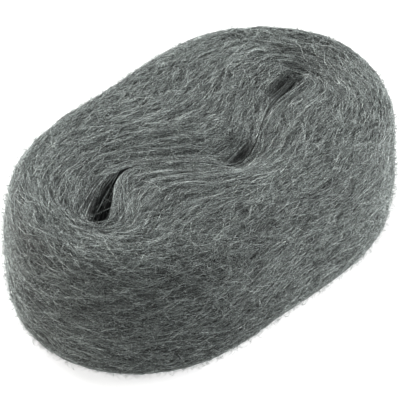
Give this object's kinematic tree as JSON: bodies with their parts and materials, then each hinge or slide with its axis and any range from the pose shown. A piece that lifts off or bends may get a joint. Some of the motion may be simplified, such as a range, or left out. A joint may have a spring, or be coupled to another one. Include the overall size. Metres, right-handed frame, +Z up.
{
  "type": "steel wool pad",
  "caption": "Oval hank of fine steel wool, wound flat from one long sliver round a wavy seam between two eyes, for rubbing down wood and metal",
  "frame": {"origin": "centre of the pad's length and width, at the height of the surface that it lies on", "axes": "+X runs along the pad, from the open eye to the slim eye, +Y runs across it and +Z is up, out of the upper face"},
  "size_m": [0.1694, 0.1054, 0.0539],
  "materials": {
    "steel_wool": "dull mid-grey steel fibres that run along the winding, with a fuzzy edge"
  },
  "bodies": {
    "root": {"wound_sliver": "steel_wool"}
  },
  "joints": []
}
